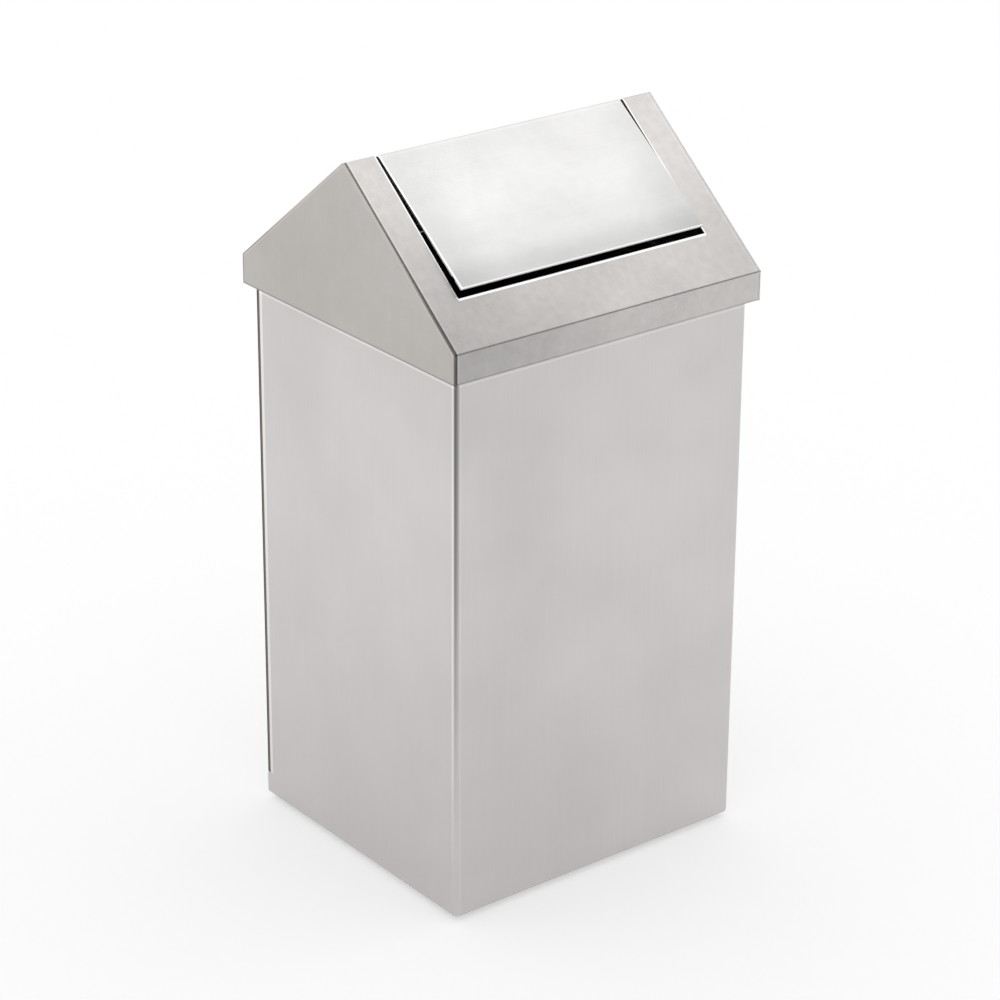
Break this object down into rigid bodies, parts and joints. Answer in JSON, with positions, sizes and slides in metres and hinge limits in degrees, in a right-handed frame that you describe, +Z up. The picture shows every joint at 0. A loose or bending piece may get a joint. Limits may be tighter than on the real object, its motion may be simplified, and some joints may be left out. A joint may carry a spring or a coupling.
{
  "type": "swing-top waste bin",
  "caption": "Tall square-cornered stainless steel waste bin with a lift-off gabled hood and a roof-shaped flap that swings both ways and closes itself.",
  "frame": {"origin": "on the floor, under the middle of the bin", "axes": "+Z up, X along the ridge and the flap's axle, -Y towards the front"},
  "size_m": [0.315, 0.289, 0.6258],
  "materials": {
    "stainless_sheet": "satin, fine brushed grain",
    "stainless_rod": "bright drawn",
    "spring_steel": "dark, oiled",
    "nylon": "matt",
    "aluminium_rivet": "plain",
    "rubber": "matt"
  },
  "bodies": {
    "bin": {"body_shell": "stainless_sheet", "base_pan": "stainless_sheet", "foot_front_left": "rubber", "foot_front_right": "rubber", "foot_rear_left": "rubber", "foot_rear_right": "rubber", "foot_rivets": "aluminium_rivet"},
    "hood": {"hood_roof": "stainless_sheet", "gable_left": "stainless_sheet", "gable_right": "stainless_sheet", "seat_rail_left": "stainless_sheet", "seat_rail_right": "stainless_sheet", "hanger_left": "stainless_sheet", "hanger_right": "stainless_sheet", "axle": "stainless_rod", "axle_clips": "spring_steel"},
    "flap": {"flap_plate": "stainless_sheet", "ear_left": "stainless_sheet", "ear_right": "stainless_sheet", "bush_left": "nylon", "bush_right": "nylon", "ballast_bar": "stainless_rod"}
  },
  "joints": [
    {"name": "hood_lift", "type": "slide", "parent": "bin", "child": "hood", "axis": [0, 0, 1], "range_m": [0, 0.25]},
    {"name": "flap_swing", "type": "hinge", "parent": "hood", "child": "flap", "pos_m": [0, 0, 0.58251], "axis": [1, 0, 0], "range_deg": [-90, 90]}
  ]
}
